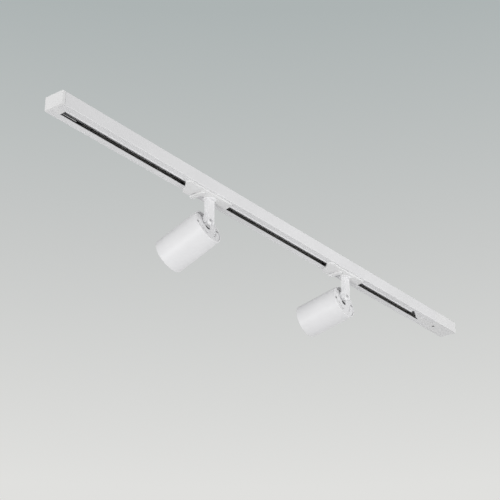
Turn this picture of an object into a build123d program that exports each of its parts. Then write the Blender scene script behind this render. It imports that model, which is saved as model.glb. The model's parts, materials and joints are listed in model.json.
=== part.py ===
from build123d import *
import os

os.makedirs("parts", exist_ok=True)

# One metre single-circuit lighting track with two adjustable cylinder spots.
# Millimetres. +Z up, +X along the track from the plain end to the feed end,
# origin in the middle of the face that lies on the ceiling.

# ---------------------------------------------------------------- track
TRACK_L = 1000.0          # end face to end face
TRACK_W = 33.0
TRACK_H = 20.0
ARRIS_R = 0.6             # rounding along the long edges
WALL = 1.8
FLANGE_T = 1.6            # underside flanges
SLOT_NEAR = -4.9          # slot edges: off centre, so an adapter fits one way round
SLOT_FAR = 6.2
BEAD_W = 1.4              # raised bead along the near slot edge
BEAD_H = 0.9
FAR_EDGE_T = 0.8          # the far slot edge is bevelled to this thickness
FAR_BEVEL = 1.6
RIB_H = 0.8               # ribs that keep the insulators on the flanges
GROOVE_W = 0.7            # decorative grooves along the flanges
GROOVE_D = 0.3
GROOVE_Y = 13.6
CORNER_R = 2.2            # upright corners of the two end pieces
END_EDGE_R = 0.6
SEAM = 0.3                # visible joint between the rail and each end piece

X_LEFT = -TRACK_L / 2
X_RIGHT = TRACK_L / 2
Z_UNDER = -TRACK_H
CAVITY_Y = TRACK_W / 2 - WALL
CAVITY_Z0 = Z_UNDER + FLANGE_T
CAVITY_Z1 = -WALL
RIB_Y = CAVITY_Y - RIB_H

FIX_HOLE_R = 2.25         # ceiling screw holes in the rail roof
FIX_HOLE_X = (-445.0, 355.0)

# ---------------------------------------------------------------- conductors
INSUL_Y = 8.0             # face of each insulator towards the slot
INSUL_Z1 = -12.8
CHASE_Z0 = -15.6          # chase along each insulator
CHASE_Z1 = -13.8
CHASE_Y = 10.4
COND_Z0 = -15.5
COND_Z1 = -13.9
COND_Y0 = 8.3
COND_Y1 = 10.3
COND_X0 = -440.0
COND_X1 = 398.0
EARTH_Y0 = 3.6
EARTH_Y1 = 6.6
EARTH_T = 0.8
EARTH_Z0 = CAVITY_Z1 - EARTH_T

# ---------------------------------------------------------------- end pieces
CAP_BAND = 5.5            # length of the cap outside the rail
CAP_TONGUE = 18.0         # cap end face to the start of the open slot
CAP_NIB = 50.0            # reach of the nibs that close the conductor grooves
FEED_BAND = 71.0          # length of the feed box outside the rail
FEED_TONGUE = 134.0       # feed end face to the end of the open slot's near edge
TONGUE_SLANT = 24.0       # the tongue's end runs back by this much towards the far edge
TONGUE_TAIL = 10.0        # narrow gap past the slanted end, along the far edge
TAIL_Y = 2.6
FEED_PLUG = 24.0
SLIP = 0.1                # gap round pieces that slide into the rail
COVER_T = 1.8
FEED_WALL = 2.0
KNOCK_OUT_X = (478.0, 494.0)
KNOCK_OUT_IN = 1.2        # how far the knock-out reaches into the wall
KNOCK_OUT_DEEP = 1.9      # and down from the top face
FEED_SCREW_X = 446.0
CUP_R = 4.2               # cup in the cover that sinks the screw head
CUP_Z1 = -16.0
HEAD_SEAT_Z = -18.5
HEAD_HOLE_R = 3.0
FINGER_MARKS = ((375.5, 383.0), (392.5, 399.5))
CABLE_X = 486.0
CABLE_R = 5.0

CONTACT_Y0 = 10.3         # feed contacts lie behind the conductors
CONTACT_Y1 = 11.4
CONTACT_Z0 = -15.3
CONTACT_Z1 = -14.1
CONTACT_LAP = 14.0
TERMINAL_X0 = 454.0
TERMINAL_X1 = 474.0
TERMINAL_Y = 13.5
TERMINAL_Z0 = -17.2
TERMINAL_Z1 = -5.0
WIRE_R = 1.7
WIRE_Z = -9.0
WIRE_END = 6.0            # wire screws, from the open end of the terminal block

RAIL_X0 = X_LEFT + CAP_BAND
RAIL_X1 = X_RIGHT - FEED_BAND
SLOT_X0 = X_LEFT + CAP_TONGUE
SLOT_X1 = X_RIGHT - FEED_TONGUE
INSUL_X1 = RAIL_X1 - FEED_PLUG
FEED_IN_X0 = RAIL_X1 + FEED_WALL
FEED_IN_X1 = X_RIGHT - FEED_WALL
FEED_IN_Y = TRACK_W / 2 - FEED_WALL
CONTACT_X1 = TERMINAL_X0 + 8.0
CONTACT_MID = (CONTACT_Y0 + CONTACT_Y1) / 2
WIRE_X = TERMINAL_X1 - WIRE_END
WIRE_Y = (-CONTACT_MID, 0.0, CONTACT_MID)
EARTH_LEAD_Z0 = EARTH_Z0 - EARTH_T

# ---------------------------------------------------------------- spots
SPOTS = (                 # node suffix, arm axis X, pan and tilt at rest (degrees)
    ("1", -187.0, 2.8, 22.7),
    ("2", 162.4, 1.4, 13.0),
)

# adapter, measured from the arm axis
PLATE_Z1 = -20.15
PLATE_Z0 = -23.6
PLATE_Y0 = -13.5
PLATE_FAR_Y = 16.3        # wide half reaches the far side of the track
NARROW_Y = 5.5
WIDE_X0 = -60.0
WIDE_X1 = -29.0
NARROW_X1 = 40.0
PLATE_EDGE = 0.7
BEVEL_Y = 1.2             # the narrow half's far side slopes up from here
BEVEL_Z1 = -20.7
BEAD_GAP = 0.2
NECK_Y0 = -4.6
NECK_Y1 = 5.9
NECK_X0 = -48.0
NECK_X1 = 34.0
NECK_Z1 = -18.4
LEVER_X = -24.0
LEVER_HALF = 3.7
LEVER_FAR = 15.5
LEVER_NEAR = 9.0
LEVER_Z1 = -23.85
LEVER_Z0 = -26.05
LEVER_TIP = 5.0
LEVER_TIP_Z0 = -26.9
LEVER_ROUND = 1.8
SHAFT_R = 3.0
RUN_GAP = 0.06            # radial running clearance
CAM_Z0 = -18.25
CAM_Z1 = -17.05
CAM_R = 7.7
CAM_HALF = 4.5
ROTOR_R = 4.6
ROTOR_Z1 = -11.0
BLADE_Z0 = -15.3
BLADE_Z1 = -14.1
BLADE_ROOT = 3.0
BLADE_REACH = 8.25
BLADE_HALF = 1.5
POST_X = -9.0
POST_Z1 = -8.6

# swivel boss and arm
BOSS_R1 = 10.2            # the boss tapers down to the arm
BOSS_R0 = 8.2
BOSS_Z1 = -23.75
BOSS_Z0 = -25.35
SPINDLE_R = 4.0
SPINDLE_Z1 = -15.4
NUT_R = 5.5
NUT_Z0 = -18.3
NUT_Z1 = -15.7
ARM_HALF_X = 7.25
ARM_HALF_Y = 3.75
ARM_KNEE_Z = -50.0        # where the arm thickens into its fork
FORK_Y1 = 5.8
FORK_Z1 = -55.3
FORK_INNER = 4.6
PIVOT_Y = 2.3
PIVOT_Z = -59.4
PIN_R = 1.5
FORK_R = 2.6

# head, measured from the tilt pivot with the beam along +Y
HEAD_D = 55.0
HEAD_L = 77.0
HEAD_WALL = 1.8
AXIS_Z = -6.0             # beam axis below the pivot
RIM_Y = 2.0               # rear rim ahead of the pivot
COVER_Y0 = RIM_Y + 1.0    # rear cover is set into the rim
COVER_Y1 = COVER_Y0 + 2.4
COVER_R = HEAD_D / 2 - HEAD_WALL - 0.5
LUG_HALF = 4.45
LUG_R = 3.4
LUG_RECESS = 1.2          # the cover is recessed behind the fork
CABLE_HOLE_R = 5.5
COVER_SCREW_X = 22.4
COVER_SCREW_Z = AXIS_Z + 0.8
LEAD_X = (1.4, 3.8)
RING_Y0 = 70.2
RING_Y1 = 73.0
RING_INNER = 22.5
HEAD_Y1 = RIM_Y + HEAD_L


def block(x0, x1, y0, y1, z0, z1):
    """Box between two opposite corners."""
    middle = Pos((x0 + x1) / 2, (y0 + y1) / 2, (z0 + z1) / 2)
    return middle * Box(x1 - x0, y1 - y0, z1 - z0)


def rod_x(x0, x1, y, z, r):
    return Pos((x0 + x1) / 2, y, z) * Rot(0, 90, 0) * Cylinder(r, x1 - x0)


def rod_y(x, y0, y1, z, r):
    return Pos(x, (y0 + y1) / 2, z) * Rot(90, 0, 0) * Cylinder(r, y1 - y0)


def rod_z(x, y, z0, z1, r):
    return Pos(x, y, (z0 + z1) / 2) * Cylinder(r, z1 - z0)


def prism_z(points, z0, z1):
    """Upright prism on a closed outline of (x, y) points."""
    outline = make_face(Polyline(*points, close=True))
    return extrude(Pos(0, 0, z0) * outline, amount=z1 - z0)


def both_sides(y0, y1):
    """The two mirrored ranges of a feature that sits either side of the slot."""
    return ((y0, y1), (-y1, -y0))


def save(shape, node):
    export_step(shape, f"parts/{node}.step")


# ================================================================ rail
def section_block(y0, y1, z0, z1):
    """Rectangle in the rail's cross-section, which is drawn about its own middle."""
    return Pos((y0 + y1) / 2, (z0 + z1) / 2 + TRACK_H / 2) * Rectangle(y1 - y0, z1 - z0)


def track_section():
    section = RectangleRounded(TRACK_W, TRACK_H, ARRIS_R)
    section -= section_block(-CAVITY_Y, CAVITY_Y, CAVITY_Z0, CAVITY_Z1)
    section -= section_block(SLOT_NEAR, SLOT_FAR, Z_UNDER - FLANGE_T, CAVITY_Z0)
    section += section_block(SLOT_NEAR - BEAD_W, SLOT_NEAR, Z_UNDER - BEAD_H, CAVITY_Z0)
    for y0, y1 in both_sides(RIB_Y, CAVITY_Y):
        section += section_block(y0, y1, INSUL_Z1, INSUL_Z1 + RIB_H)
    for side in (1, -1):
        y = side * GROOVE_Y
        section -= section_block(y - GROOVE_W / 2, y + GROOVE_W / 2, Z_UNDER, Z_UNDER + GROOVE_D)
    mid = TRACK_H / 2
    bevel = Polyline(
        (SLOT_FAR, Z_UNDER + FAR_EDGE_T + mid),
        (SLOT_FAR + FAR_BEVEL, CAVITY_Z0 + mid),
        (SLOT_FAR, CAVITY_Z0 + mid),
        close=True,
    )
    return section - make_face(bevel)


def along_track(section, x0, x1):
    plane = Plane((x0, 0, -TRACK_H / 2), x_dir=(0, 1, 0), z_dir=(1, 0, 0))
    return extrude(plane * section, amount=x1 - x0)


rail = along_track(track_section(), RAIL_X0, RAIL_X1)
for x in FIX_HOLE_X:
    rail -= rod_z(x, 0, CAVITY_Z1 - 1, 1, FIX_HOLE_R)
# the bead runs only beside the open slot
for x0, x1 in ((RAIL_X0 - 1, SLOT_X0), (SLOT_X1 - 4, RAIL_X1 + 1)):
    rail -= block(x0, x1, -TRACK_W / 2, 0, Z_UNDER - BEAD_H - 1, Z_UNDER)
# release window at the feed end of the near flange, shallow recess at the plain end
window = ((SLOT_X1 - 4, SLOT_NEAR + 1), (SLOT_X1 - 4, -9.6), (SLOT_X1, -9.6), (SLOT_X1 + 11, SLOT_NEAR + 1))
rail -= prism_z(window, Z_UNDER - 1, CAVITY_Z0 + 1)
rail -= block(SLOT_X0 + 0.5, SLOT_X0 + 6.5, -9.3, -6.4, Z_UNDER - 1, Z_UNDER + 0.9)
# two finger marks beside the feed tongue
for x0, x1 in FINGER_MARKS:
    rail -= block(x0, x1, -9.0, -6.6, Z_UNDER - 1, Z_UNDER + 0.7)
save(rail, "track_rail")

# ================================================================ conductors
for side, name in ((1, "far"), (-1, "near")):
    chase_y = sorted((side * (INSUL_Y - 1), side * CHASE_Y))
    pocket_y = sorted((side * INSUL_Y, side * CONTACT_Y1))
    outer_y = sorted((side * INSUL_Y, side * CAVITY_Y))
    bar_y = sorted((side * COND_Y0, side * COND_Y1))
    insulator = block(SLOT_X0, INSUL_X1, *outer_y, CAVITY_Z0, INSUL_Z1)
    insulator -= block(SLOT_X0 - 1, INSUL_X1 + 1, *chase_y, CHASE_Z0, CHASE_Z1)
    insulator -= block(COND_X1 - CONTACT_LAP, INSUL_X1 + 1, *pocket_y, CHASE_Z0, CHASE_Z1)
    save(insulator, f"insulator_{name}")
    save(block(COND_X0, COND_X1, *bar_y, COND_Z0, COND_Z1), f"conductor_{name}")

save(block(COND_X0, COND_X1, EARTH_Y0, EARTH_Y1, EARTH_Z0, CAVITY_Z1), "earth_strip")


# ================================================================ end cap
def end_piece(x_end, x_rail):
    """Solid block with the rail's outline and softened end corners."""
    x0, x1 = sorted((x_end, x_rail))
    body = along_track(RectangleRounded(TRACK_W, TRACK_H, ARRIS_R), x0, x1)
    keep = Pos((x0 + x1) / 2, 0, -TRACK_H / 2) * Box(x1 - x0, TRACK_W, TRACK_H)
    pick = 0 if x_end < x_rail else -1
    keep = fillet(keep.edges().filter_by(Axis.Z).group_by(Axis.X)[pick], CORNER_R)
    keep = fillet(keep.faces().sort_by(Axis.X)[pick].edges(), END_EDGE_R)
    return body & keep


def plug(x0, x1):
    """Block that fills the rail's cavity between its ribs."""
    return block(x0, x1, -RIB_Y + SLIP, RIB_Y - SLIP, CAVITY_Z0 + SLIP, CAVITY_Z1 - SLIP)


end_cap = end_piece(X_LEFT, RAIL_X0 - SEAM)
end_cap += plug(RAIL_X0 - SEAM, SLOT_X0)
end_cap += block(RAIL_X0 - SEAM, SLOT_X0, SLOT_NEAR + SLIP, SLOT_FAR - SLIP, Z_UNDER, CAVITY_Z0 + 1)
# nibs that close the chases of the two insulators
for y0, y1 in both_sides(INSUL_Y + 2 * SLIP, CHASE_Y - 2 * SLIP):
    end_cap += block(SLOT_X0, X_LEFT + CAP_NIB, y0, y1, CHASE_Z0 + SLIP, CHASE_Z1 - SLIP)
save(end_cap, "end_cap")

# ================================================================ live-end feed
cover_top = Z_UNDER + COVER_T
feed = end_piece(X_RIGHT, RAIL_X1 + SEAM)
feed -= block(FEED_IN_X0, FEED_IN_X1, -FEED_IN_Y, FEED_IN_Y, Z_UNDER - 1, -FEED_WALL)
feed += plug(INSUL_X1, RAIL_X1 + SEAM)
feed -= block(INSUL_X1 - 1, FEED_IN_X0 + 1, SLOT_NEAR, SLOT_FAR, Z_UNDER - 1, cover_top + SLIP)
# post that takes the cover screw
feed += rod_z(FEED_SCREW_X, 0, CUP_Z1 + SLIP, -FEED_WALL / 2, 3.5)
feed -= rod_z(FEED_SCREW_X, 0, CUP_Z1 - 1, -6, 1.3)
# cable entry through the roof
feed -= rod_z(CABLE_X, 0, -FEED_WALL - 1, 1, CABLE_R)
# knock-out for a surface cable in the near top edge
feed -= block(*KNOCK_OUT_X, -TRACK_W / 2 - 1, -TRACK_W / 2 + KNOCK_OUT_IN, -KNOCK_OUT_DEEP, 1)
# passages for the contacts
passage = (INSUL_X1 - 1, FEED_IN_X0 + 1)
for y0, y1 in both_sides(CONTACT_Y0, CONTACT_Y1):
    feed -= block(*passage, y0 - SLIP, y1 + SLIP, CONTACT_Z0 - SLIP, CONTACT_Z1 + SLIP)
feed -= block(*passage, EARTH_Y0 - SLIP, EARTH_Y1 + SLIP, EARTH_LEAD_Z0 - SLIP, EARTH_Z0 + SLIP)
save(feed, "feed_housing")

cover_in_x = (FEED_IN_X0 + SLIP, FEED_IN_X1 - SLIP)
cover = block(*cover_in_x, -FEED_IN_Y + SLIP, FEED_IN_Y - SLIP, Z_UNDER, cover_top)
tail_x1 = SLOT_X1 + TONGUE_SLANT + TONGUE_TAIL
tongue = (
    (SLOT_X1 + 11, SLOT_NEAR + SLIP),
    (FEED_IN_X0 + 1, SLOT_NEAR + SLIP),
    (FEED_IN_X0 + 1, SLOT_FAR - SLIP),
    (tail_x1, SLOT_FAR - SLIP),
    (tail_x1, TAIL_Y),
    (SLOT_X1 + TONGUE_SLANT, TAIL_Y),
)
cover += prism_z(tongue, Z_UNDER, cover_top)
cover += rod_z(FEED_SCREW_X, 0, Z_UNDER, CUP_Z1, CUP_R)
cover -= rod_z(FEED_SCREW_X, 0, Z_UNDER - 1, HEAD_SEAT_Z, HEAD_HOLE_R)
cover -= rod_z(FEED_SCREW_X, 0, Z_UNDER, CUP_Z1 + 1, 1.6)
save(cover, "feed_cover")

feed_screw = rod_z(FEED_SCREW_X, 0, HEAD_SEAT_Z - 1.0, HEAD_SEAT_Z, 2.6)
feed_screw += rod_z(FEED_SCREW_X, 0, HEAD_SEAT_Z, -8, 1.2)
feed_screw -= block(FEED_SCREW_X - 2, FEED_SCREW_X + 2, -0.3, 0.3, HEAD_SEAT_Z - 1.1, HEAD_SEAT_Z - 0.5)
save(feed_screw, "feed_screw")

# terminal block with three wire ways entered from the end of the feed
terminal = block(TERMINAL_X0, TERMINAL_X1, -TERMINAL_Y, TERMINAL_Y, TERMINAL_Z0, TERMINAL_Z1)
for y in WIRE_Y:
    terminal -= rod_x(TERMINAL_X0 + 7, TERMINAL_X1 + 1, y, WIRE_Z, WIRE_R)
    terminal -= rod_z(WIRE_X, y, TERMINAL_Z0 - 1, WIRE_Z, WIRE_R)
for y0, y1 in both_sides(CONTACT_Y0, CONTACT_Y1):
    terminal -= block(TERMINAL_X0 - 1, CONTACT_X1, y0, y1, CONTACT_Z0, CONTACT_Z1)
save(terminal, "terminal_block")

screws = [rod_z(WIRE_X, y, TERMINAL_Z0 + 1, WIRE_Z - 1.8, WIRE_R - 0.1) for y in WIRE_Y]
save(Compound(children=screws), "terminal_screws")

for name, (y0, y1) in zip(("far", "near"), both_sides(CONTACT_Y0, CONTACT_Y1)):
    contact = block(COND_X1 - CONTACT_LAP, CONTACT_X1, y0, y1, CONTACT_Z0, CONTACT_Z1)
    save(contact, f"feed_contact_{name}")

# the earth contact steps down behind the plug to the middle way of the terminal block
step_x = TERMINAL_X0 - 4
step_t = EARTH_T
earth_lead = block(COND_X1 - 10, step_x, EARTH_Y0, EARTH_Y1, EARTH_LEAD_Z0, EARTH_Z0)
earth_lead += block(step_x, step_x + step_t, EARTH_Y0, EARTH_Y1, WIRE_Z, EARTH_Z0)
earth_lead += block(step_x, TERMINAL_X0, EARTH_Y0, EARTH_Y1, WIRE_Z - step_t, WIRE_Z)
save(earth_lead, "feed_earth_contact")


# ================================================================ adapter
def adapter_body():
    outline = (
        (WIDE_X0, PLATE_Y0),
        (NARROW_X1 - 5, PLATE_Y0),
        (NARROW_X1, NARROW_Y),
        (WIDE_X1, NARROW_Y),
        (WIDE_X1, PLATE_FAR_Y),
        (WIDE_X0 + 19, PLATE_FAR_Y),
        (WIDE_X0 + 15, 12.0),
        (WIDE_X0 + 11, 5.0),
        (WIDE_X0, -6.0),
    )
    plate = prism_z(outline, PLATE_Z0, PLATE_Z1)
    plate = chamfer(plate.faces().sort_by(Axis.Z)[0].outer_wire().edges(), PLATE_EDGE)
    # sloping far side of the narrow half
    slope = Polyline(
        (BEVEL_Y, PLATE_Z0 - 1),
        (BEVEL_Y, PLATE_Z0),
        (NARROW_Y, BEVEL_Z1),
        (NARROW_Y + 1, BEVEL_Z1),
        (NARROW_Y + 1, PLATE_Z0 - 1),
        close=True,
    )
    end_view = Plane((WIDE_X1, 0, 0), x_dir=(0, 1, 0), z_dir=(1, 0, 0))
    plate -= extrude(end_view * make_face(slope), amount=NARROW_X1 - WIDE_X1 + 1)
    # clearance groove for the bead beside the slot
    bead_y = (SLOT_NEAR - BEAD_W - BEAD_GAP, NECK_Y0)
    plate -= block(WIDE_X0 - 1, NARROW_X1 + 1, *bead_y, Z_UNDER - BEAD_H - BEAD_GAP, PLATE_Z1 + 1)
    # finger notch in the near side, two small moulding gates and two pin marks
    plate -= block(-53, -46, PLATE_Y0 - 1, PLATE_Y0 + 1.4, -22.7, -22.0)
    for x in (-40.0, -12.0):
        plate -= block(x - 1, x + 1, PLATE_Y0 - 1, PLATE_Y0 + 1, PLATE_Z1 - 0.8, PLATE_Z1 + 1)
    for x, y in ((-17.5, -11.0), (14.7, -5.1)):
        plate -= rod_z(x, y, PLATE_Z0 - 1, PLATE_Z0 + 1.2, 0.8)
    body = plate + block(NECK_X0, NECK_X1, NECK_Y0, NECK_Y1, PLATE_Z1 - 0.5, NECK_Z1)
    body += block(POST_X - 2, POST_X + 2, -3, 3, NECK_Z1, POST_Z1)
    body -= rod_z(LEVER_X, 0, PLATE_Z0 - 1, NECK_Z1 + 1, SHAFT_R + RUN_GAP)
    body -= rod_z(0, 0, PLATE_Z0 - 1, NECK_Z1 + 1, SPINDLE_R + RUN_GAP)
    return body


def earth_leaf():
    leaf = block(POST_X - 1.5, POST_X + 1.5, -2, EARTH_Y0 + 1.4, POST_Z1, POST_Z1 + 0.6)
    leaf += block(POST_X - 1.5, POST_X + 1.5, EARTH_Y0 + 0.8, EARTH_Y0 + 1.4, POST_Z1, EARTH_Z0 - 0.15)
    return leaf


def lock_lever():
    x0, x1 = LEVER_X - LEVER_HALF, LEVER_X + LEVER_HALF
    bar = block(x0, x1, -LEVER_NEAR, LEVER_FAR, LEVER_Z0, LEVER_Z1)
    bar += block(x0, x1, LEVER_FAR - LEVER_TIP, LEVER_FAR, LEVER_TIP_Z0, LEVER_Z1)
    corners = bar.edges().filter_by(Axis.Z)
    ends = [e for e in corners if e.center().Y < 0 or e.center().Y > LEVER_FAR - 0.1]
    bar = fillet(ends, LEVER_ROUND)
    return bar + rod_z(LEVER_X, 0, LEVER_Z1, CAM_Z0, SHAFT_R)


def lock_cam():
    cam = rod_z(LEVER_X, 0, CAM_Z0, CAM_Z1, CAM_R)
    cam &= block(LEVER_X - CAM_HALF, LEVER_X + CAM_HALF, -CAM_R - 1, CAM_R + 1, CAM_Z0, CAM_Z1)
    cam += rod_z(LEVER_X, 0, CAM_Z1, ROTOR_Z1, ROTOR_R)
    for y0, y1 in both_sides(BLADE_ROOT, ROTOR_R + 1):
        cam -= block(LEVER_X - BLADE_HALF, LEVER_X + BLADE_HALF, y0, y1, BLADE_Z0, BLADE_Z1)
    return cam


def contact_blades():
    sweep_disc = rod_z(LEVER_X, 0, BLADE_Z0, BLADE_Z1, BLADE_REACH)
    blades = []
    for y0, y1 in both_sides(BLADE_ROOT, BLADE_REACH + 1):
        blade = block(LEVER_X - BLADE_HALF, LEVER_X + BLADE_HALF, y0, y1, BLADE_Z0, BLADE_Z1)
        blades.append(blade & sweep_disc)
    return Compound(children=blades)


# ================================================================ arm
def swivel_arm():
    boss_h = BOSS_Z1 - BOSS_Z0
    arm = Pos(0, 0, (BOSS_Z0 + BOSS_Z1) / 2) * Cone(BOSS_R0, BOSS_R1, boss_h)
    arm += rod_z(0, 0, BOSS_Z1, SPINDLE_Z1, SPINDLE_R)
    arm += block(-ARM_HALF_X, ARM_HALF_X, -ARM_HALF_Y, ARM_HALF_Y, FORK_Z1, BOSS_Z0)
    knee = Polyline(
        (-ARM_HALF_Y, ARM_KNEE_Z),
        (-ARM_HALF_Y, PIVOT_Z - 0.8),
        (-ARM_HALF_Y + 1.6, PIVOT_Z - FORK_R),
        (PIVOT_Y, PIVOT_Z - FORK_R),
        (PIVOT_Y, PIVOT_Z),
        (FORK_Y1, PIVOT_Z),
        (FORK_Y1, ARM_KNEE_Z - 2.0),
        (ARM_HALF_Y, ARM_KNEE_Z),
        close=True,
    )
    side_view = Plane((-ARM_HALF_X, 0, 0), x_dir=(0, 1, 0), z_dir=(1, 0, 0))
    fork = extrude(side_view * make_face(knee), amount=2 * ARM_HALF_X)
    fork += rod_x(-ARM_HALF_X, ARM_HALF_X, PIVOT_Y, PIVOT_Z, FORK_R)
    arm += fork
    arm -= block(-FORK_INNER, FORK_INNER, -10, 10, PIVOT_Z - 10, FORK_Z1)
    arm -= rod_x(-ARM_HALF_X - 1, ARM_HALF_X + 1, PIVOT_Y, PIVOT_Z, PIN_R + 0.01)
    return arm


def spindle_nut():
    nut = extrude(Pos(0, 0, NUT_Z0) * RegularPolygon(NUT_R, 6), amount=NUT_Z1 - NUT_Z0)
    return nut - rod_z(0, 0, NUT_Z0 - 1, NUT_Z1 + 1, SPINDLE_R + 0.01)


def pivot_pin():
    return rod_x(-ARM_HALF_X, ARM_HALF_X, PIVOT_Y, PIVOT_Z, PIN_R)


# ================================================================ head
def head_tube():
    outer = rod_y(0, RIM_Y, HEAD_Y1, AXIS_Z, HEAD_D / 2)
    inner = rod_y(0, RIM_Y - 1, HEAD_Y1 + 1, AXIS_Z, HEAD_D / 2 - HEAD_WALL)
    tube = outer - inner
    tube = fillet(tube.edges().group_by(Axis.Y)[-1], 0.7)
    tube = fillet(tube.edges().group_by(Axis.Y)[0], 0.5)
    for side in (1, -1):
        x0, x1 = sorted((side * 19.4, side * 26.0))
        z0, z1 = COVER_SCREW_Z - 3.0, COVER_SCREW_Z + 3.0
        tube += block(x0, x1, COVER_Y1, COVER_Y1 + 9, z0, z1)
        tube -= rod_y(side * COVER_SCREW_X, COVER_Y1 - 1, COVER_Y1 + 8, COVER_SCREW_Z, 1.25)
    return tube


def rear_cover():
    cover = rod_y(0, COVER_Y0, COVER_Y1, AXIS_Z, COVER_R)
    cover -= rod_y(0, COVER_Y0 - 1, COVER_Y1 + 1, AXIS_Z, CABLE_HOLE_R)
    # recess for the fork, opening through the cover at its top edge
    floor_y = COVER_Y0 + LUG_RECESS
    cover -= block(-8, 8, COVER_Y0 - 1, floor_y, AXIS_Z + 0.8, AXIS_Z + 30)
    cover -= block(-12, 12, COVER_Y0 - 1, COVER_Y1 + 1, AXIS_Z + 19.5, AXIS_Z + 30)
    for side in (1, -1):
        cover -= rod_y(side * COVER_SCREW_X, COVER_Y0 - 1, COVER_Y1 + 1, COVER_SCREW_Z, 1.4)
        cover -= rod_y(side * COVER_SCREW_X, COVER_Y0 - 1, COVER_Y0 + 1.5, COVER_SCREW_Z, 2.2)
        # curved cooling recess
        x0, x1 = sorted((side * 7.0, side * 19.0))
        arc = rod_y(0, COVER_Y0 - 1, COVER_Y0 + 1.9, AXIS_Z, 18.6)
        arc -= rod_y(0, COVER_Y0 - 1, COVER_Y0 + 1.9, AXIS_Z, 15.2)
        cover -= arc & block(x0, x1, COVER_Y0 - 1, COVER_Y0 + 1.9, AXIS_Z - 18, AXIS_Z - 2)
    lug = block(-LUG_HALF, LUG_HALF, 0, floor_y + 0.5, -LUG_R, LUG_R)
    lug += rod_x(-LUG_HALF, LUG_HALF, 0, 0, LUG_R)
    lug -= rod_x(-LUG_HALF - 1, LUG_HALF + 1, 0, 0, PIN_R + RUN_GAP)
    return cover + lug


def cover_screws():
    screws = []
    for side in (1, -1):
        x = side * COVER_SCREW_X
        screw = rod_y(x, COVER_Y0 + 0.6, COVER_Y0 + 1.5, COVER_SCREW_Z, 2.0)
        screw += rod_y(x, COVER_Y0 + 1.5, COVER_Y1 + 7, COVER_SCREW_Z, 1.2)
        screws.append(screw)
    return Compound(children=screws)


def holder_bracket():
    bracket = block(-12.8, 12.8, COVER_Y1, COVER_Y1 + 0.8, AXIS_Z - 6, AXIS_Z + 6)
    bracket += block(12.0, 12.8, COVER_Y1, 22, AXIS_Z - 5, AXIS_Z + 5)
    bracket += block(-12.8, -12.0, COVER_Y1, 22, AXIS_Z - 5, AXIS_Z + 5)
    return bracket - rod_y(0, COVER_Y1 - 1, COVER_Y1 + 2, AXIS_Z, CABLE_HOLE_R)


def lamp_holder():
    holder = block(-12, 12, 14, 26, AXIS_Z - 8, AXIS_Z + 8)
    for side in (1, -1):
        holder -= rod_y(side * 5, 19, 27, AXIS_Z, 2.5)
    return holder


def lamp_body():
    """Twist-lock reflector lamp: two pins, neck, flared bowl open at the front."""
    shell = [(0, 26.2), (14, 26.2), (14, 36), (24.8, 62), (24.8, 70), (23.2, 70), (23.2, 66)]
    shell += [(21.5, 66), (21.5, 62), (8, 42), (0, 42)]
    half = make_face(Polyline(*[(r, y) for r, y in shell], close=True))
    lamp = Pos(0, 0, AXIS_Z) * revolve(half, Axis.Y)
    for side in (1, -1):
        lamp += rod_y(side * 5, 20, 26.6, AXIS_Z, 2.2)
    return lamp


def lamp_lens():
    return rod_y(0, 66, 68.6, AXIS_Z, 23.1)


def front_ring():
    ring = rod_y(0, RING_Y0, RING_Y1, AXIS_Z, HEAD_D / 2 - HEAD_WALL - 0.1)
    return ring - rod_y(0, RING_Y0 - 1, RING_Y1 + 1, AXIS_Z, RING_INNER)


def lamp_leads():
    leads = [rod_y(x, COVER_Y0 + 0.8, 14, AXIS_Z - 1, 1.0) for x in LEAD_X]
    return Compound(children=leads)


ON_ADAPTER = {
    "adapter_body": adapter_body,
    "earth_leaf": earth_leaf,
    "lock_lever": lock_lever,
    "lock_cam": lock_cam,
    "contact_blades": contact_blades,
}
ON_ARM = {
    "swivel_arm": swivel_arm,
    "spindle_nut": spindle_nut,
    "pivot_pin": pivot_pin,
}
ON_HEAD = {
    "head_tube": head_tube,
    "rear_cover": rear_cover,
    "cover_screws": cover_screws,
    "holder_bracket": holder_bracket,
    "lamp_holder": lamp_holder,
    "lamp_body": lamp_body,
    "lamp_lens": lamp_lens,
    "front_ring": front_ring,
    "lamp_leads": lamp_leads,
}

for suffix, arm_x, pan, tilt in SPOTS:
    at_adapter = Pos(arm_x, 0, 0)
    at_arm = at_adapter * Rot(0, 0, pan)
    at_head = at_arm * Pos(0, PIVOT_Y, PIVOT_Z) * Rot(-tilt, 0, 0)
    for group, place in ((ON_ADAPTER, at_adapter), (ON_ARM, at_arm), (ON_HEAD, at_head)):
        for node, make in group.items():
            save(place * make(), f"{node}_{suffix}")
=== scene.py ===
import json
import math

import bmesh
import bpy
from mathutils import Matrix, Quaternion, Vector


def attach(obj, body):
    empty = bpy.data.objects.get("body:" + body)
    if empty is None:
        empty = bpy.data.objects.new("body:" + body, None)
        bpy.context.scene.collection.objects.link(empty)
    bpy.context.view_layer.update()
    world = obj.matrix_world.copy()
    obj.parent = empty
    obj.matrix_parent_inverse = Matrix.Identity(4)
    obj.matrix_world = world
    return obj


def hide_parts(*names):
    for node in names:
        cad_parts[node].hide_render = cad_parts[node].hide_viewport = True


# One metre lighting track with two adjustable cylinder spots, in the frame of the CAD.
# Pieces are drawn in millimetres in the frame of the CAD feature they stand for, and
# placed in metres.
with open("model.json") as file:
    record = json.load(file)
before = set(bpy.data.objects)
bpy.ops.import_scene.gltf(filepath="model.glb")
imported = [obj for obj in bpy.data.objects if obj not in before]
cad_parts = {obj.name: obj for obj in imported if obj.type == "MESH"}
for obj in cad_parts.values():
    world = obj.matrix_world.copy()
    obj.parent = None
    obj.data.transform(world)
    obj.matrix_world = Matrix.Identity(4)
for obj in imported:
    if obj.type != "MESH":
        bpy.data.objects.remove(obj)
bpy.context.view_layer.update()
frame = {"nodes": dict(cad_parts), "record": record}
NODES = frame["nodes"]
MM = 0.001

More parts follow.
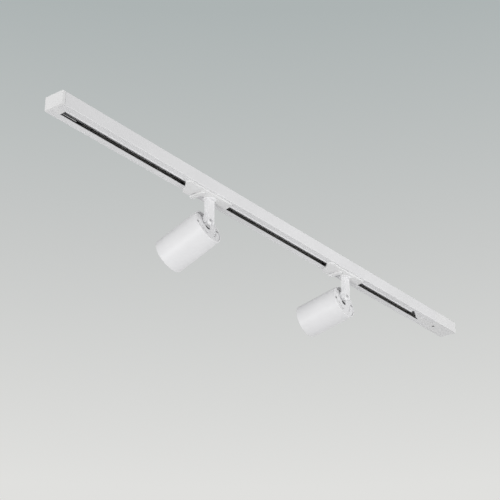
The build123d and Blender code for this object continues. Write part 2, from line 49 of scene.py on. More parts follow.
# ---------------------------------------------------------------- dimensions, mm
SPOTS = (("1", -187.0, 2.8, 22.7), ("2", 162.4, 1.4, 13.0))   # arm axis X, pan, tilt
PIVOT_Y, PIVOT_Z = 2.3, -59.4
AXIS_Z = -6.0                     # beam axis, below the tilt pivot
TUBE_R, TUBE_INNER_R = 27.5, 25.7
TUBE_Y0, TUBE_Y1 = 2.0, 79.0
COVER_Y0, COVER_Y1, COVER_R = 3.0, 5.4, 25.2
SCREW_X, SCREW_Z = 22.4, -5.2
FORK_R, PIN_R = 2.6, 1.56
LUG_HALF, LUG_R, KNUCKLE_R = 4.45, 3.4, 3.9
HALF_W, HEIGHT = 16.5, 20.0       # track section
BELOW = -HEIGHT - 1               # start of cuts through the underside
X_LEFT, X_RIGHT = -500.0, 500.0
RAIL_X0, RAIL_X1 = -494.5, 429.0
SLOT_X0 = -482.0                  # open slot's plain end
SLOT_NEAR, SLOT_FAR = -4.9, 6.2
SEAM, SLIP = 0.3, 0.1             # gaps at the end pieces' joints and round sliding parts


# ---------------------------------------------------------------- mesh tools
def rounded(points, steps=4):
    """Closed outline; a point (x, y, r) becomes an arc of that radius."""
    out = []
    for i, point in enumerate(points):
        corner = Vector(point[:2])
        radius = point[2] if len(point) > 2 else 0.0
        back = Vector(points[i - 1][:2]) - corner
        ahead = Vector(points[(i + 1) % len(points)][:2]) - corner
        half = back.angle(ahead) / 2
        if radius <= 0 or half > math.radians(88):
            out.append(corner)
            continue
        reach = min(radius / math.tan(half), back.length * 0.49, ahead.length * 0.49)
        radius = reach * math.tan(half)
        inward = (back.normalized() + ahead.normalized()).normalized()
        centre = corner + inward * radius / math.sin(half)
        first = (corner + back.normalized() * reach - centre).normalized()
        last = (corner + ahead.normalized() * reach - centre).normalized()
        out += [centre + first.slerp(last, k / steps) * radius for k in range(steps + 1)]
    return out


def faced_out(bm):
    bmesh.ops.recalc_face_normals(bm, faces=bm.faces[:])
    return bm


def prism(points, low, high, axis="Z"):
    """Straight prism on a closed outline: (x, y) along Z, (y, z) along X or (x, z) along Y."""
    lay = {
        "Z": lambda p, h: (p[0], p[1], h),
        "X": lambda p, h: (h, p[0], p[1]),
        "Y": lambda p, h: (p[0], h, p[1]),
    }[axis]
    bm = bmesh.new()
    ends = [[bm.verts.new(lay(p, h)) for p in points] for h in (low, high)]
    for end in ends:
        bm.faces.new(end)
    count = len(points)
    for i in range(count):
        j = (i + 1) % count
        bm.faces.new((ends[0][i], ends[0][j], ends[1][j], ends[1][i]))
    return faced_out(bm)


def brick(x0, x1, y0, y1, z0, z1):
    return prism(((x0, y0), (x1, y0), (x1, y1), (x0, y1)), z0, z1)


def both_sides(a, b):
    """The two mirrored ranges of a feature that sits either side of the middle."""
    return (a, b), (-b, -a)


def rod(axis, a, b, r, low, high, segments=40):
    """Round bar or bore centred on (a, b) in the plane across its axis."""
    turn = [2 * math.pi * (k + 0.5) / segments for k in range(segments)]
    return prism([(a + r * math.cos(t), b + r * math.sin(t)) for t in turn], low, high, axis)


def lathe(profile, segments=128, z=AXIS_Z, ripple=None):
    """Closed profile of (radius, y) turned about the beam axis."""
    bm = bmesh.new()
    rings = []
    for r, y in profile:
        if r < 1e-6:
            rings.append([bm.verts.new((0, y, z))])
            continue
        ring = []
        for k in range(segments):
            t = 2 * math.pi * k / segments
            grow = ripple(r, y, t) if ripple else 0.0
            ring.append(bm.verts.new(((r + grow) * math.sin(t), y, z + (r + grow) * math.cos(t))))
        rings.append(ring)
    for i, ring in enumerate(rings):
        other = rings[(i + 1) % len(rings)]
        if len(ring) == 1 and len(other) == 1:
            continue
        for k in range(segments):
            n = (k + 1) % segments
            corners = [ring[k % len(ring)], ring[n % len(ring)]]
            corners += [other[n % len(other)], other[k % len(other)]]
            bm.faces.new(list(dict.fromkeys(corners)))
    return faced_out(bm)


def to_object(bm, name="tool"):
    mesh = bpy.data.meshes.new(name)
    bm.to_mesh(mesh)
    bm.free()
    made = bpy.data.objects.new(name, mesh)
    bpy.context.scene.collection.objects.link(made)
    return made


def joined(bm, other):
    """Two meshes as one, each with its own shell."""
    mesh = bpy.data.meshes.new("part")
    other.to_mesh(mesh)
    other.free()
    bm.from_mesh(mesh)
    bpy.data.meshes.remove(mesh)
    return bm


def carved(base, add=(), cut=()):
    """Closed mesh joined with the solids in add, less the solids in cut."""
    body = to_object(base)
    tools = []
    for solids, operation in ((add, "UNION"), (cut, "DIFFERENCE")):
        for solid in solids:
            tool = to_object(solid)
            tools.append(tool)
            step = body.modifiers.new(operation, "BOOLEAN")
            step.operation = operation
            step.solver = "EXACT"
            step.object = tool
    bpy.context.view_layer.update()
    graph = bpy.context.evaluated_depsgraph_get()
    bm = bmesh.new()
    bm.from_mesh(body.evaluated_get(graph).to_mesh())
    for used in [body] + tools:
        mesh = used.data
        bpy.data.objects.remove(used)
        bpy.data.meshes.remove(mesh)
    bmesh.ops.remove_doubles(bm, verts=bm.verts[:], dist=0.002)
    return bm


def softened(bm, width, segments=2, angle=32.0):
    """Rounds every edge sharper than the angle."""
    bmesh.ops.dissolve_limit(
        bm, angle_limit=math.radians(0.6), verts=bm.verts[:], edges=bm.edges[:],
        use_dissolve_boundaries=False,
    )
    limit = math.radians(angle)
    edges = [e for e in bm.edges if len(e.link_faces) == 2 and e.calc_face_angle(0) > limit]
    bmesh.ops.bevel(
        bm, geom=edges, offset=width, offset_type="OFFSET", segments=segments, profile=0.5,
        affect="EDGES", clamp_overlap=True,
    )
    return bm


def weighted(made, angle=38.0):
    """Smooth shading that keeps flat faces flat."""
    mesh = made.data
    for polygon in mesh.polygons:
        polygon.use_smooth = True
    mesh.set_sharp_from_angle(angle=math.radians(angle))
    normals = made.modifiers.new("flat_faces", "WEIGHTED_NORMAL")
    normals.keep_sharp = True


def piece(name, bm, slot, body, nodes=(), place=Matrix()):
    """Puts a finished mesh in the scene as a piece that rides a body."""
    bmesh.ops.transform(bm, matrix=Matrix.Scale(MM, 4) @ place, verts=bm.verts[:])
    made = to_object(bm, name)
    weighted(made)
    made.data.materials.append(material(slot))
    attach(made, body)
    if nodes:
        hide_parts(*nodes)
    return made


# ---------------------------------------------------------------- materials
def srgb(*rgb):
    """Screen colour, 0 to 255, as the linear colour that shaders take."""
    out = []
    for c in rgb:
        c /= 255
        out.append(c / 12.92 if c <= 0.04045 else ((c + 0.055) / 1.055) ** 2.4)
    return (*out, 1.0)


class Nodes:
    """A material's node tree, with short calls for the nodes used here."""

    def __init__(self, name):
        self.material = bpy.data.materials.new(name)
        self.material.use_nodes = True
        self.tree = self.material.node_tree
        self.tree.nodes.clear()
        self.out = self.tree.nodes.new("ShaderNodeOutputMaterial")
        self.shader = self.tree.nodes.new("ShaderNodeBsdfPrincipled")
        self.link(self.shader.outputs[0], self.out.inputs["Surface"])
        self.place = self.tree.nodes.new("ShaderNodeTexCoord").outputs["Object"]

    def link(self, a, b):
        self.tree.links.new(a, b)

    def noise(self, scale, detail=3.0, place=None):
        n = self.tree.nodes.new("ShaderNodeTexNoise")
        n.inputs["Scale"].default_value = scale
        n.inputs["Detail"].default_value = detail
        n.inputs["Roughness"].default_value = 0.55
        self.link(place or self.place, n.inputs["Vector"])
        return n.outputs["Fac"]

    def stretched(self, x, y, z):
        n = self.tree.nodes.new("ShaderNodeMapping")
        n.inputs["Scale"].default_value = (x, y, z)
        self.link(self.place, n.inputs["Vector"])
        return n.outputs["Vector"]

    def ramp(self, fac, low, high):
        n = self.tree.nodes.new("ShaderNodeValToRGB")
        for stop, position, colour in zip(n.color_ramp.elements, (0.35, 0.65), (low, high)):
            stop.position = position
            stop.color = colour
        self.link(fac, n.inputs["Fac"])
        return n.outputs["Color"]

    def spread(self, fac, low, high):
        n = self.tree.nodes.new("ShaderNodeMapRange")
        n.inputs["From Min"].default_value = 0.3
        n.inputs["From Max"].default_value = 0.7
        n.inputs["To Min"].default_value = low
        n.inputs["To Max"].default_value = high
        self.link(fac, n.inputs["Value"])
        return n.outputs["Result"]

    def bump(self, height, depth, strength):
        n = self.tree.nodes.new("ShaderNodeBump")
        n.inputs["Strength"].default_value = strength
        n.inputs["Distance"].default_value = depth
        self.link(height, n.inputs["Height"])
        self.link(n.outputs["Normal"], self.shader.inputs["Normal"])


def finish(name, low, high, patch, rough, grain, depth, drawn=None, **values):
    """Mottled colour, uneven gloss and a fine grain. Patch and grain are features per metre."""
    m = Nodes(name)
    place = m.stretched(*drawn) if drawn else None
    colour = m.ramp(m.noise(patch, place=place), srgb(*low), srgb(*high))
    gloss = m.spread(m.noise(patch * 6, 4.0, place), rough - 0.05, rough + 0.05)
    m.link(colour, m.shader.inputs["Base Color"])
    m.link(gloss, m.shader.inputs["Roughness"])
    m.bump(m.noise(grain, place=place), depth, 0.35)
    for value, setting in values.items():
        m.shader.inputs[value.replace("_", " ")].default_value = setting
    return m.material


FINISHES = {
    "white_powder_coat": dict(
        low=(232, 232, 233), high=(236, 236, 237), patch=14, rough=0.46, grain=1300, depth=3e-6,
    ),
    "white_enamel": dict(
        low=(236, 236, 237), high=(240, 240, 241), patch=18, rough=0.40, grain=1700, depth=4e-6,
        Coat_Weight=0.12, Coat_Roughness=0.25,
    ),
    "white_plastic": dict(
        low=(235, 235, 235), high=(239, 239, 239), patch=40, rough=0.44, grain=2600, depth=3e-6,
    ),
    "lamp_glass": dict(
        low=(236, 240, 240), high=(246, 248, 248), patch=60, rough=0.09, grain=500, depth=1e-5,
        Transmission_Weight=0.9, IOR=1.47,
    ),
    "black_insulator": dict(
        low=(22, 23, 24), high=(34, 35, 36), patch=50, rough=0.5, grain=900, depth=2e-5,
        drawn=(0.1, 1, 1),
    ),
    "natural_nylon": dict(
        low=(222, 219, 206), high=(233, 230, 219), patch=60, rough=0.42, grain=1500, depth=1e-5,
    ),
    "tinned_copper": dict(
        low=(150, 148, 143), high=(184, 180, 172), patch=160, rough=0.38, grain=2000, depth=1e-5,
        drawn=(0.04, 1, 1), Metallic=1.0,
    ),
    "brass_contact": dict(
        low=(178, 148, 86), high=(206, 178, 112), patch=120, rough=0.3, grain=2500, depth=8e-6,
        Metallic=1.0,
    ),
    "steel_fastener": dict(
        low=(62, 63, 64), high=(92, 93, 95), patch=300, rough=0.36, grain=4000, depth=8e-6,
        Metallic=1.0,
    ),
    "zinc_steel": dict(
        low=(160, 163, 166), high=(198, 200, 203), patch=180, rough=0.34, grain=1200, depth=1e-5,
        Metallic=1.0,
    ),
    "white_ceramic": dict(
        low=(230, 228, 221), high=(241, 240, 235), patch=80, rough=0.35, grain=2600, depth=2e-5,
    ),
    "lamp_shell": dict(
        low=(206, 208, 209), high=(226, 227, 227), patch=90, rough=0.24, grain=900, depth=1e-5,
        Metallic=0.6,
    ),
    "lead_sleeve": dict(
        low=(52, 53, 55), high=(66, 67, 69), patch=300, rough=0.55, grain=3500, depth=2e-5,
    ),
}
MADE = {}


def material(slot):
    """The finish of a record slot, made once."""
    if slot not in MADE:
        MADE[slot] = finish(slot, **FINISHES[slot])
    return MADE[slot]


# CAD nodes keep their shape, and take a finish. All but the rail, whose edges the CAD rounds,
# get softened edges.
WELD_GAP, SOFT_EDGE, SOFT_ANGLE = 0.01 * MM, 0.12 * MM, math.radians(35)
SLOT_OF = {sub["node"]: sub["material_slot"] for sub in frame["record"]["subparts"]}
for name, node in NODES.items():
    node.data.materials.clear()
    node.data.materials.append(material(SLOT_OF[name]))
    join = node.modifiers.new("join", "WELD")
    join.merge_threshold = WELD_GAP
    if name != "track_rail":
        edge = node.modifiers.new("soft_edges", "BEVEL")
        edge.width = SOFT_EDGE
        edge.segments = 2
        edge.limit_method = "ANGLE"
        edge.angle_limit = SOFT_ANGLE
    node.modifiers.new("flat_faces", "WEIGHTED_NORMAL").keep_sharp = True


# ---------------------------------------------------------------- end cap and feed
END_CORNER_R, END_EDGE_R = 2.2, 0.35      # upright corners and edges of both end pieces
PLUG_Y, PLUG_Z = 13.8, (-18.3, -1.9)      # the part that slides into the rail
CAP_LAP, FEED_LAP = 0.5, 0.6              # how far each plug reaches into its end piece
CAP_TONGUE_Z = (-HEIGHT + 0.02, -17.4)
NIB_X1, NIB_Y, NIB_Z = -450.0, (8.2, 10.2), (-15.5, -13.9)
WALL = 2.0
ROOM_X = (RAIL_X1 + WALL, X_RIGHT - WALL)
ROOM_Y = HALF_W - WALL
FEED_PLUG_X0 = 405.0
CONTACT_WAY_Y, CONTACT_WAY_Z = (10.2, 11.5), (-15.4, -14.0)
EARTH_WAY_Y, EARTH_WAY_Z = (3.5, 6.7), (-3.5, -2.5)
CABLE_X, CABLE_R = 486.0, 5.0
KNOCK_OUT_X, KNOCK_OUT_IN, KNOCK_OUT_DEEP = (478.0, 494.0), 1.2, 1.9
COVER_TOP = -18.2
TONGUE_TIP_X, TONGUE_SLANT_X, TONGUE_TAIL_X, TAIL_Y = 377.0, 390.0, 400.0, 2.6
FEED_SCREW_X = 446.0
FEED_POST_R, FEED_POST_BORE_R, FEED_POST_Z = 3.5, 1.3, (-15.9, -1.5)
CUP_R, CUP_Z1 = 4.2, -16.0                # sinks the screw head in the cover
HEAD_SEAT_Z, HEAD_HOLE_R = -18.5, 3.0


def end_block(x_end, x_joint):
    """Block with the rail's outline and rounded end corners."""
    outline = [
        (x_joint, -HALF_W), (x_end, -HALF_W, END_CORNER_R),
        (x_end, HALF_W, END_CORNER_R), (x_joint, HALF_W),
    ]
    return softened(prism(rounded(outline, 6), -HEIGHT, 0), END_EDGE_R, 3)


def plug(x0, x1):
    return brick(x0, x1, -PLUG_Y, PLUG_Y, *PLUG_Z)


def feed_rod(r, z0, z1, segments=40):
    """Round bar on the axis of the feed's cover screw."""
    return rod("Z", FEED_SCREW_X, 0, r, z0, z1, segments)


def end_cap():
    x_joint = RAIL_X0 - SEAM
    x_root = x_joint - CAP_LAP
    tongue = brick(x_root, SLOT_X0, SLOT_NEAR + SLIP, SLOT_FAR - SLIP, *CAP_TONGUE_Z)
    nibs = [brick(SLOT_X0 - 1, NIB_X1, *y, *NIB_Z) for y in both_sides(*NIB_Y)]
    return carved(end_block(X_LEFT, x_joint), add=[plug(x_root, SLOT_X0), tongue] + nibs)


def feed_housing():
    room = brick(*ROOM_X, -ROOM_Y, ROOM_Y, BELOW, -WALL)
    cable_entry = rod("Z", CABLE_X, 0, CABLE_R, -WALL - 1, 1)
    knock_out = brick(*KNOCK_OUT_X, -HALF_W - 1, -HALF_W + KNOCK_OUT_IN, -KNOCK_OUT_DEEP, 1)
    return carved(end_block(X_RIGHT, RAIL_X1 + SEAM), cut=[room, cable_entry, knock_out])


def feed_core():
    """The part of the feed housing that plugs into the rail, and its screw post."""
    x_way = (FEED_PLUG_X0 - 1, ROOM_X[0] + 1)
    slot = brick(*x_way, SLOT_NEAR, SLOT_FAR, BELOW, COVER_TOP + SLIP)
    ways = [brick(*x_way, *y, *CONTACT_WAY_Z) for y in both_sides(*CONTACT_WAY_Y)]
    ways.append(brick(*x_way, *EARTH_WAY_Y, *EARTH_WAY_Z))
    core = carved(plug(FEED_PLUG_X0, RAIL_X1 + SEAM + FEED_LAP), cut=[slot] + ways)
    bore = feed_rod(FEED_POST_BORE_R, CUP_Z1 - 1, -6, 24)
    post = carved(feed_rod(FEED_POST_R, *FEED_POST_Z), cut=[bore])
    return softened(joined(core, post), 0.2)


def feed_cover():
    x0, x1 = ROOM_X[0] + SLIP, ROOM_X[1] - SLIP
    y = ROOM_Y - SLIP
    x_root = ROOM_X[0] + 1
    plate = [(x0, -y, 1), (x1, -y, 1.6), (x1, y, 1.6), (x0, y, 1)]
    tongue = [
        (TONGUE_TIP_X, SLOT_NEAR + SLIP, 0.4), (x_root, SLOT_NEAR + SLIP),
        (x_root, SLOT_FAR - SLIP), (TONGUE_TAIL_X, SLOT_FAR - SLIP, 0.3),
        (TONGUE_TAIL_X, TAIL_Y, 0.3), (TONGUE_SLANT_X, TAIL_Y, 0.6),
    ]
    flap = prism(rounded(tongue), -HEIGHT + 0.03, COVER_TOP - 0.05)
    head_hole = feed_rod(HEAD_HOLE_R, BELOW, HEAD_SEAT_Z, 48)
    stem_hole = feed_rod(1.6, HEAD_SEAT_Z - 0.5, CUP_Z1 + 1, 24)
    return softened(carved(
        prism(rounded(plate), -HEIGHT, COVER_TOP),
        add=[flap, feed_rod(CUP_R, 1 - HEIGHT, CUP_Z1)],
        cut=[head_hole, stem_hole],
    ), 0.22)


def feed_screw():
    head_z = HEAD_SEAT_Z - 1
    return softened(carved(
        feed_rod(2.6, head_z, HEAD_SEAT_Z, 48),
        add=[feed_rod(1.2, HEAD_SEAT_Z - 0.5, -8, 24)],
        cut=[brick(FEED_SCREW_X - 3, FEED_SCREW_X + 3, -0.35, 0.35, head_z - 0.5, head_z + 0.5)],
    ), 0.18)


piece("end_cap_moulding", end_cap(), "white_plastic", "track", ["end_cap"])
piece("feed_box", feed_housing(), "white_plastic", "track", ["feed_housing"])
piece("feed_box_plug", feed_core(), "white_plastic", "track")
piece("feed_cover_plate", feed_cover(), "white_plastic", "track", ["feed_cover"])
piece("feed_cover_screw", feed_screw(), "steel_fastener", "track", ["feed_screw"])


# ---------------------------------------------------------------- adapters, from the arm axis
WIDE_X0, WIDE_X1, NARROW_X1 = -60.0, -29.0, 40.0
PLATE_NEAR_Y, NARROW_Y, WIDE_Y = -13.5, 5.5, 16.3
PLATE_Z = (-23.6, -20.15)
SLOPE_Y, SLOPE_Z1 = 1.2, -20.7            # the narrow half's far side slopes up from here
NECK_X, NECK_Y, NECK_Z = (-48, 34), (-4.6, 5.9), (-20.8, -18.4)
POST_X, POST_Y, POST_Z = (-11, -7), (-3, 3), (-19, -8.6)
BEAD_GROOVE_Y, BEAD_GROOVE_Z1 = (-6.5, -4.6), -21.1
NOTCH_X, NOTCH_Z = (-53, -46), (-22.7, -22.0)
GATE_XS = (-40, -12)
PIN_MARKS = ((-17.5, -11), (14.7, -5.1))
SHAFT_R, SPINDLE_R, RUN_GAP = 3.0, 4.0, 0.06
LEVER_X, LEVER_HALF, LEVER_Y = -24.0, 3.7, (-9, 15.5)
LEVER_Z = (-26.05, -23.85)
LEVER_TIP_Y0, LEVER_TIP_Z = 10.5, (-26.9, -24.5)
LEVER_ROUND, TIP_INSET = 1.9, 0.1
GRIP_YS, GRIP_W, GRIP_TOP = (11.6, 12.8, 14.0), 0.5, -26.7


def adapter_body():
    below = PLATE_Z[0] - 1
    front = PLATE_NEAR_Y - 1.5
    x_all = (WIDE_X0 - 2, NARROW_X1 + 2)
    outline = [
        (WIDE_X0, PLATE_NEAR_Y, 1.2), (NARROW_X1 - 5, PLATE_NEAR_Y, 1.2), (NARROW_X1, NARROW_Y, 1.2),
        (WIDE_X1, NARROW_Y, 0.5), (WIDE_X1, WIDE_Y, 1.0), (WIDE_X0 + 19, WIDE_Y, 1.5),
        (WIDE_X0 + 15, 12, 2), (WIDE_X0 + 11, 5, 2), (WIDE_X0, -6, 2),
    ]
    slope = [
        (SLOPE_Y, below), (SLOPE_Y, PLATE_Z[0]), (NARROW_Y, SLOPE_Z1),
        (NARROW_Y + 1.5, SLOPE_Z1), (NARROW_Y + 1.5, below),
    ]
    cuts = [
        prism(slope, WIDE_X1 + 0.1, x_all[1], "X"),
        brick(*x_all, *BEAD_GROOVE_Y, BEAD_GROOVE_Z1, -19),
        brick(*NOTCH_X, front, PLATE_NEAR_Y + 1.4, *NOTCH_Z),
    ]
    cuts += [brick(x - 1, x + 1, front, PLATE_NEAR_Y + 1, PLATE_Z[1] - 0.8, -19) for x in GATE_XS]
    cuts += [rod("Z", x, 0, r + RUN_GAP, -25, -17) for x, r in ((LEVER_X, SHAFT_R), (0, SPINDLE_R))]
    cuts += [rod("Z", x, y, 0.8, -25, PLATE_Z[0] + 1.2, 20) for x, y in PIN_MARKS]
    return softened(carved(
        prism(rounded(outline), *PLATE_Z),
        add=[brick(*NECK_X, *NECK_Y, *NECK_Z), brick(*POST_X, *POST_Y, *POST_Z)],
        cut=cuts,
    ), 0.35)


def lever_outline(half, y0, y1, near_round):
    """Bar across the adapter with a round far end."""
    x0, x1 = LEVER_X - half, LEVER_X + half
    near = [(x0, y0, near_round), (x1, y0, near_round)]
    return rounded(near + [(x1, y1, LEVER_ROUND), (x0, y1, LEVER_ROUND)], 6)


def lock_lever():
    tip = lever_outline(LEVER_HALF - TIP_INSET, LEVER_TIP_Y0, LEVER_Y[1] - TIP_INSET, 0)
    grips = [
        brick(LEVER_X - 5, LEVER_X + 5, y, y + GRIP_W, LEVER_TIP_Z[0] - 0.6, GRIP_TOP) for y in GRIP_YS
    ]
    return softened(carved(
        prism(lever_outline(LEVER_HALF, *LEVER_Y, LEVER_ROUND), *LEVER_Z),
        add=[prism(tip, *LEVER_TIP_Z), rod("Z", LEVER_X, 0, SHAFT_R, -25, -18.3)],
        cut=grips,
    ), 0.4)


# ---------------------------------------------------------------- arm
ARM_X, ARM_Y = 7.25, 3.75                 # half widths
ARM_TOP_Z, SPINDLE_TOP_Z = -25.2, -15.4
BOSS_R0, BOSS_R1, BOSS_H, BOSS_MIDDLE_Z = 8.2, 10.2, 1.6, -24.55
FORK_FAR_Y, KNEE_Z = 5.8, -50.0
FORK_GAP, FORK_ROOF_Z = 4.6, -55.3


def swivel_arm():
    turn = [math.radians(a) for a in range(-90, 1, 15)]
    heel = [(PIVOT_Y + FORK_R * math.cos(t), PIVOT_Z + FORK_R * math.sin(t)) for t in turn]
    side = [(-ARM_Y, ARM_TOP_Z), (-ARM_Y, PIVOT_Z - 0.8, 0.8), (-ARM_Y + 1.6, PIVOT_Z - FORK_R, 0.8)]
    side += heel + [(FORK_FAR_Y, PIVOT_Z, 0.3), (FORK_FAR_Y, KNEE_Z - 2, 2.0)]
    side += [(ARM_Y, KNEE_Z, 2.0), (ARM_Y, ARM_TOP_Z)]
    boss = bmesh.new()
    bmesh.ops.create_cone(
        boss, cap_ends=True, segments=96, radius1=BOSS_R0, radius2=BOSS_R1, depth=BOSS_H,
        matrix=Matrix.Translation((0, 0, BOSS_MIDDLE_Z)),
    )
    return softened(carved(
        prism(rounded(side), -ARM_X, ARM_X, "X"),
        add=[boss, rod("Z", 0, 0, SPINDLE_R, -24, SPINDLE_TOP_Z)],
        cut=[
            brick(-FORK_GAP, FORK_GAP, -12, 12, -66, FORK_ROOF_Z),
            rod("X", PIVOT_Y, PIVOT_Z, 1.52, -9, 9, 32),
        ],
    ), 0.45, 3)


# ---------------------------------------------------------------- head, from the tilt pivot
LEDGE_R, LEDGE_Y = 24.7, 5.55             # ring in the tube that the cover rests on
LUG_RECESS = 1.2                          # the cover is recessed behind the fork
FORK_RECESS_X, TOP_OPENING_X, TOP_OPENING_UP = 8, 12, 19.5
CABLE_HOLE_R = 5.5
VENT_R, VENT_DEEP = (15.2, 18.6), 1.9
RING_Y, RING_R = (70.2, 73.0), (22.5, 25.55)
BOWL_R, BOWL_Y = (8, 21.5), (42, 62)
LENS_R, LENS_Y = 23.1, (66.1, 68.5)
PIN_X = 5                                 # the lamp's two twist-lock pins


def head_tube():
    wall = rounded([
        (TUBE_INNER_R, TUBE_Y0, 0.4), (TUBE_R, TUBE_Y0, 0.55), (TUBE_R, TUBE_Y1, 0.8),
        (TUBE_INNER_R, TUBE_Y1, 0.6), (TUBE_INNER_R, 7.0), (LEDGE_R, 7.0), (LEDGE_R, LEDGE_Y),
        (TUBE_INNER_R, LEDGE_Y),
    ])
    lugs = [brick(*x, LEDGE_Y - 0.05, 14.3, SCREW_Z - 3, SCREW_Z + 3) for x in both_sides(19.6, 26.2)]
    bores = [rod("Y", x, SCREW_Z, 1.25, 4, 13, 24) for x in (SCREW_X, -SCREW_X)]
    return carved(lathe(wall, 160), add=lugs, cut=bores)


def vent(side):
    """Curved cooling recess in the rear cover."""
    turn = [math.radians(a) for a in range(196, 247, 5)]
    inner, outer = (
        [(side * r * math.cos(t), AXIS_Z + r * math.sin(t)) for t in turn] for r in VENT_R
    )
    return prism(outer + inner[::-1], COVER_Y0 - 1, COVER_Y0 + VENT_DEEP, "Y")


def rear_cover():
    behind = COVER_Y0 - 1
    floor_y = COVER_Y0 + LUG_RECESS
    disc = [(0, COVER_Y0), (COVER_R, COVER_Y0), (COVER_R, COVER_Y1), (0, COVER_Y1)]
    up = AXIS_Z + 30
    cuts = [
        rod("Y", 0, AXIS_Z, CABLE_HOLE_R, 0, 8, 64),
        brick(-FORK_RECESS_X, FORK_RECESS_X, behind, floor_y, AXIS_Z + 0.8, up),
        brick(-TOP_OPENING_X, TOP_OPENING_X, behind, COVER_Y1 + 1, AXIS_Z + TOP_OPENING_UP, up),
    ]
    for side in (1, -1):
        x = side * SCREW_X
        cuts += [
            rod("Y", x, SCREW_Z, 2.3, behind, COVER_Y0 + 1.5),
            vent(side),
            rod("Y", x, SCREW_Z, 1.4, COVER_Y0, COVER_Y1 + 1, 24),
        ]
    plate = softened(carved(lathe(disc), cut=cuts), 0.22)
    shank = brick(-LUG_HALF, LUG_HALF, 0, floor_y + 0.6, -LUG_R, LUG_R)
    lug = softened(carved(
        shank,
        add=[rod("X", 0, 0, KNUCKLE_R, -LUG_HALF, LUG_HALF, 64)],
        cut=[rod("X", 0, 0, PIN_R, -6, 6, 32)],
    ), 0.3)
    return carved(plate, add=[lug])


def cover_screw(side):
    """Small cross-head screw beside the fork."""
    x = side * SCREW_X
    sizes = ((1.25, 0.3), (0.3, 1.25))
    head = [(0, 3.5), (0.9, 3.5, 0.5), (1.9, 3.8, 0.4), (2.1, 4.5), (1.2, 4.5), (1.2, 12.4), (0, 12.4)]
    bm = lathe(rounded(head), 48, 0.0)
    bmesh.ops.translate(bm, vec=(x, 0, SCREW_Z), verts=bm.verts[:])
    return carved(bm, cut=[brick(x - a, x + a, 3, 4.0, SCREW_Z - b, SCREW_Z + b) for a, b in sizes])


def front_ring():
    (y0, y1), (r0, r1) = RING_Y, RING_R
    step_y = y1 - 1.1
    return lathe(rounded([
        (r0, y0, 0.3), (r1, y0, 0.2), (r1, y1, 0.3),
        (24.2, y1, 0.3), (23.4, step_y, 0.5), (r0, step_y, 0.3),
    ]), 160)


def facets(r, y, t):
    """Shallow facets inside the reflector bowl, as a change of radius."""
    inside = r <= 22 and 42.5 <= y < 66
    return 0.16 * math.cos(24 * t) if inside else 0.0


def lamp_body():
    (r0, r1), (y0, y1) = BOWL_R, BOWL_Y
    steps = [k / 10 for k in range(11)]
    bowl = [
        (r0 + (r1 - r0) * math.sin(s * math.pi / 2) ** 1.1, y0 + (y1 - y0) * s ** 1.6) for s in steps
    ]
    shell = [(0, 26.2), (13.6, 26.2), (14, 26.8), (14, 36), (16.0, 38.5), (20.5, 49), (24.8, 62)]
    shell += [(24.8, 70), (23.4, 70), (23.4, 65.9), (r1, 65.9)] + bowl[::-1] + [(0, y0)]
    pins = [rod("Y", x, AXIS_Z, 2.2, 20, 27, 32) for x in (PIN_X, -PIN_X)]
    return carved(lathe(shell, 96, ripple=facets), add=pins)


def lamp_lens():
    """Disc whose front face has fine rings."""
    y0, y1 = LENS_Y
    count = 46
    front = [(LENS_R * k / count, y1 + 0.14 * math.cos(k * math.pi / 2)) for k in range(count, -1, -1)]
    return lathe([(0, y0), (LENS_R - 0.2, y0), (LENS_R, y0 + 0.3)] + front, 96)


for suffix, arm_x, pan, tilt in SPOTS:
    at_adapter = Matrix.Translation((arm_x, 0, 0))
    at_arm = at_adapter @ Matrix.Rotation(math.radians(pan), 4, "Z")
    at_pivot = at_arm @ Matrix.Translation((0, PIVOT_Y, PIVOT_Z))
    at_head = at_pivot @ Matrix.Rotation(math.radians(-tilt), 4, "X")
    for name, bm, slot, body, nodes, place in (
        ("adapter_shell", adapter_body(), "white_plastic", "adapter", ["adapter_body"], at_adapter),
        ("lever_bar", lock_lever(), "white_plastic", "lever", ["lock_lever"], at_adapter),
        ("swivel_stem", swivel_arm(), "white_enamel", "arm", ["swivel_arm"], at_arm),
        ("spot_tube", head_tube(), "white_enamel", "head", ["head_tube"], at_head),
        ("spot_back", rear_cover(), "white_enamel", "head", ["rear_cover"], at_head),
        ("back_screw_left", cover_screw(-1), "steel_fastener", "head", ["cover_screws"], at_head),
        ("back_screw_right", cover_screw(1), "steel_fastener", "head", [], at_head),
        ("snap_ring", front_ring(), "white_enamel", "head", ["front_ring"], at_head),
        ("reflector_lamp", lamp_body(), "lamp_shell", "head", ["lamp_body"], at_head),
        ("lamp_window", lamp_lens(), "lamp_glass", "head", ["lamp_lens"], at_head),
    ):
        stands_for = [f"{node}_{suffix}" for node in nodes]
        piece(f"{name}_{suffix}", bm, slot, f"{body}_{suffix}", stands_for, place)

# ---------------------------------------------------------------- camera, metres
scene = bpy.context.scene
scene.view_settings.view_transform = "Standard"
scene.view_settings.look = "None"

CAMERA_AT = Vector((-1.4429, -1.0477, -0.8703))
CAMERA_YAW = math.radians(37.79)
CAMERA_PITCH = math.radians(25.13)
CAMERA_ROLL = math.radians(0.10)
lens = bpy.data.cameras.new("camera")
lens.lens = 91.84
lens.sensor_width = 36.0
lens.clip_end = 100.0
camera = bpy.data.objects.new("camera", lens)
scene.collection.objects.link(camera)
forward = Vector((
    math.cos(CAMERA_YAW) * math.cos(CAMERA_PITCH),
    math.sin(CAMERA_YAW) * math.cos(CAMERA_PITCH),
    math.sin(CAMERA_PITCH),
))
camera.location = CAMERA_AT
camera.rotation_mode = "QUATERNION"
camera.rotation_quaternion = forward.to_track_quat("-Z", "Y") @ Quaternion((0, 0, 1), CAMERA_ROLL)
scene.camera = camera

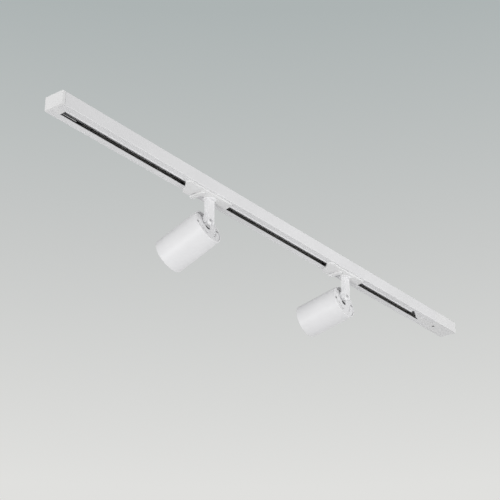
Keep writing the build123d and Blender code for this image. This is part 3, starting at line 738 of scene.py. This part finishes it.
# ---------------------------------------------------------------- studio, metres
# backdrop glow of painted studio light, paler low down: (elevation in degrees, colour)
BACKDROP_GLOW = ((14.0, (224, 224, 222)), (25.1, (199, 201, 200)), (36.2, (173, 180, 180)))
AMBIENT = ((14.0, (223, 223, 223)), (25.1, (200, 200, 200)), (36.2, (180, 180, 181)))
AMBIENT_STRENGTH = 0.9
DOME_R = 40.0
FLOOR_HALF, FLOOR_Z, FLOOR_T = 6.0, -3.0, 0.02
SOFTBOXES = (             # name, place, size, watts, aim
    ("left_low", (-2.4, -0.6, -1.3), 1.4, 21.4, (0, 0, -0.05)),
    ("left_far", (-2.2, 0.8, -1.3), 1.0, 5.6, (0, 0, -0.05)),
    ("near", (-0.05, -0.75, -0.35), 0.4, 1.4, (0.17, 0.04, -0.07)),
    ("right_front", (1.8, -1.6, -0.6), 1.2, 12.0, (0.3, 0, -0.05)),
    ("right_low", (1.6, -0.8, -1.5), 1.0, 1.6, (0.3, 0, -0.05)),
)


def glowing(owner, kind, out_kind, coordinates, colours, scale=1.0):
    """Gives a world or a material a glow coloured by elevation."""
    owner.use_nodes = True
    tree = owner.node_tree
    tree.nodes.clear()
    out = tree.nodes.new(out_kind)
    glow = tree.nodes.new(kind)
    place = tree.nodes.new("ShaderNodeMapping")
    place.inputs["Scale"].default_value = (scale, scale, scale)
    split = tree.nodes.new("ShaderNodeSeparateXYZ")
    ramp = tree.nodes.new("ShaderNodeValToRGB")
    ramp.color_ramp.elements.new(0.4)
    for element, (elevation, colour) in zip(ramp.color_ramp.elements, colours):
        element.position = math.sin(math.radians(elevation))
        element.color = srgb(*colour)
    tree.links.new(tree.nodes.new("ShaderNodeTexCoord").outputs[coordinates], place.inputs["Vector"])
    tree.links.new(place.outputs["Vector"], split.inputs[0])
    tree.links.new(split.outputs["Z"], ramp.inputs["Fac"])
    tree.links.new(ramp.outputs["Color"], glow.inputs["Color"])
    tree.links.new(glow.outputs[0], out.inputs["Surface"])
    return glow


def light_from_all_round():
    scene.world = bpy.data.worlds.new("studio")
    glow = glowing(scene.world, "ShaderNodeBackground", "ShaderNodeOutputWorld", "Generated", AMBIENT)
    glow.inputs["Strength"].default_value = AMBIENT_STRENGTH


def backdrop():
    """Dome all round with a painted glow of studio light, paler low down, which the camera sees and which
    lights nothing.
    """
    bm = bmesh.new()
    bmesh.ops.create_icosphere(bm, subdivisions=5, radius=DOME_R)
    dome = to_object(bm, "backdrop")
    for polygon in dome.data.polygons:
        polygon.use_smooth = True
    paint = bpy.data.materials.new("backdrop_paint")
    glowing(paint, "ShaderNodeEmission", "ShaderNodeOutputMaterial", "Object", BACKDROP_GLOW, 1 / DOME_R)
    dome.data.materials.append(paint)
    dome.visible_diffuse = False
    dome.visible_glossy = False
    dome.visible_transmission = False
    dome.visible_shadow = False


def pale_floor():
    """Floor that throws light up at the undersides; the camera sees the backdrop instead."""
    half = FLOOR_HALF
    bm = prism(((-half, -half), (half, -half), (half, half), (-half, half)), FLOOR_Z - FLOOR_T, FLOOR_Z)
    floor = to_object(bm, "floor")
    floor.data.materials.append(
        finish("floor_paint", (229, 229, 229), (234, 234, 234), patch=1.5, rough=0.7, grain=60, depth=2e-4)
    )
    floor.visible_camera = False


def softbox(name, at, size, power, aim):
    light = bpy.data.lights.new(name, "AREA")
    light.shape = "DISK"
    light.size = size
    light.energy = power
    made = bpy.data.objects.new(name, light)
    scene.collection.objects.link(made)
    made.location = at
    made.rotation_mode = "QUATERNION"
    made.rotation_quaternion = (Vector(aim) - Vector(at)).to_track_quat("-Z", "Y")


light_from_all_round()
backdrop()
pale_floor()
for box in SOFTBOXES:
    softbox(*box)
